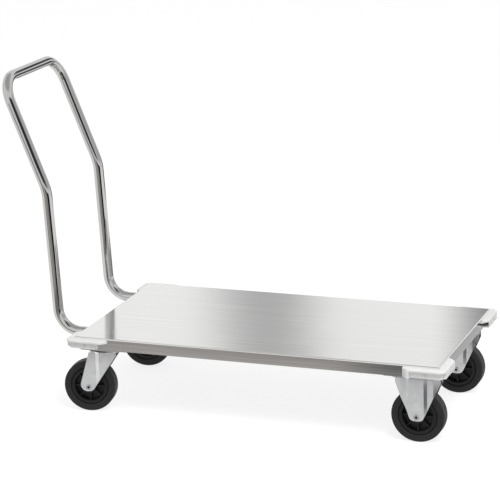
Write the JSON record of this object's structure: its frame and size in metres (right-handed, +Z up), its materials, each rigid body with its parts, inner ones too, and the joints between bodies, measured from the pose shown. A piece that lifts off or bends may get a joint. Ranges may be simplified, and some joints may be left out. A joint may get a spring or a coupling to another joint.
{
  "type": "platform trolley",
  "caption": "Flat folded-sheet platform trolley with a bent tube push handle, plastic corner bumpers, swivel castors at the handle end and fixed castors in front.",
  "frame": {"origin": "On the floor, under the middle of the outer box.", "axes": "+X is forward, away from the handle. +Y is to the left. +Z is up."},
  "size_m": [1.1102, 0.494, 0.8],
  "materials": {
    "deck_steel": "smooth satin",
    "frame_steel": "mill finish",
    "handle_steel": "polished tube",
    "fastener_steel": "bright zinc",
    "rivet_aluminium": "plain",
    "zinc_steel": "pressed sheet, bright zinc",
    "ball_steel": "polished",
    "bumper_plastic": "moulded",
    "rim_plastic": "moulded",
    "sleeve_plastic": "moulded",
    "black_plastic": "moulded",
    "tyre_rubber": "smooth",
    "seal_rubber": "smooth"
  },
  "bodies": {
    "trolley": {"deck_pan": "deck_steel", "bolster_rear": "frame_steel", "bolster_front": "frame_steel", "stiffener_right": "frame_steel", "stiffener_left": "frame_steel", "push_handle": "handle_steel", "handle_end_plugs": "black_plastic", "handle_saddles": "black_plastic", "handle_bolts": "fastener_steel", "handle_nuts": "fastener_steel", "castor_screws_rear": "fastener_steel", "castor_screws_front": "fastener_steel", "bumper_rivets": "rivet_aluminium", "bumper_rear_right": "bumper_plastic", "bumper_rear_left": "bumper_plastic", "bumper_front_right": "bumper_plastic", "bumper_front_left": "bumper_plastic", "fixed_fork_right": "zinc_steel", "fixed_bush_right": "fastener_steel", "fixed_axle_right": "fastener_steel", "swivel_plate_right": "zinc_steel", "king_pin_right": "fastener_steel", "king_pin_nut_right": "fastener_steel", "dust_seal_right": "seal_rubber", "fixed_fork_left": "zinc_steel", "fixed_bush_left": "fastener_steel", "fixed_axle_left": "fastener_steel", "swivel_plate_left": "zinc_steel", "king_pin_left": "fastener_steel", "king_pin_nut_left": "fastener_steel", "dust_seal_left": "seal_rubber"},
    "swivel_right": {"swivel_fork_right": "zinc_steel", "ball_ring_right": "ball_steel", "swivel_bush_right": "fastener_steel", "swivel_axle_right": "fastener_steel"},
    "fixed_wheel_right": {"fixed_tyre_right": "tyre_rubber", "fixed_rim_right": "rim_plastic", "fixed_sleeve_right": "sleeve_plastic"},
    "swivel_wheel_right": {"swivel_tyre_right": "tyre_rubber", "swivel_rim_right": "rim_plastic", "swivel_sleeve_right": "sleeve_plastic"},
    "swivel_left": {"swivel_fork_left": "zinc_steel", "ball_ring_left": "ball_steel", "swivel_bush_left": "fastener_steel", "swivel_axle_left": "fastener_steel"},
    "fixed_wheel_left": {"fixed_tyre_left": "tyre_rubber", "fixed_rim_left": "rim_plastic", "fixed_sleeve_left": "sleeve_plastic"},
    "swivel_wheel_left": {"swivel_tyre_left": "tyre_rubber", "swivel_rim_left": "rim_plastic", "swivel_sleeve_left": "sleeve_plastic"}
  },
  "joints": [
    {"name": "swivel_right_turn", "type": "hinge", "parent": "trolley", "child": "swivel_right", "pos_m": [-0.29687, -0.174, 0.164], "axis": [0, 0, 1], "continuous": true},
    {"name": "swivel_right_roll", "type": "hinge", "parent": "swivel_right", "child": "swivel_wheel_right", "pos_m": [-0.33638, -0.18026, 0.0625], "axis": [-0.1564, 0.9877, 0], "continuous": true},
    {"name": "fixed_right_roll", "type": "hinge", "parent": "trolley", "child": "fixed_wheel_right", "pos_m": [0.47513, -0.174, 0.0625], "axis": [0, 1, 0], "continuous": true},
    {"name": "swivel_left_turn", "type": "hinge", "parent": "trolley", "child": "swivel_left", "pos_m": [-0.29687, 0.174, 0.164], "axis": [0, 0, 1], "continuous": true},
    {"name": "swivel_left_roll", "type": "hinge", "parent": "swivel_left", "child": "swivel_wheel_left", "pos_m": [-0.33638, 0.16774, 0.0625], "axis": [-0.1564, 0.9877, 0], "continuous": true},
    {"name": "fixed_left_roll", "type": "hinge", "parent": "trolley", "child": "fixed_wheel_left", "pos_m": [0.47513, 0.174, 0.0625], "axis": [0, 1, 0], "continuous": true}
  ]
}
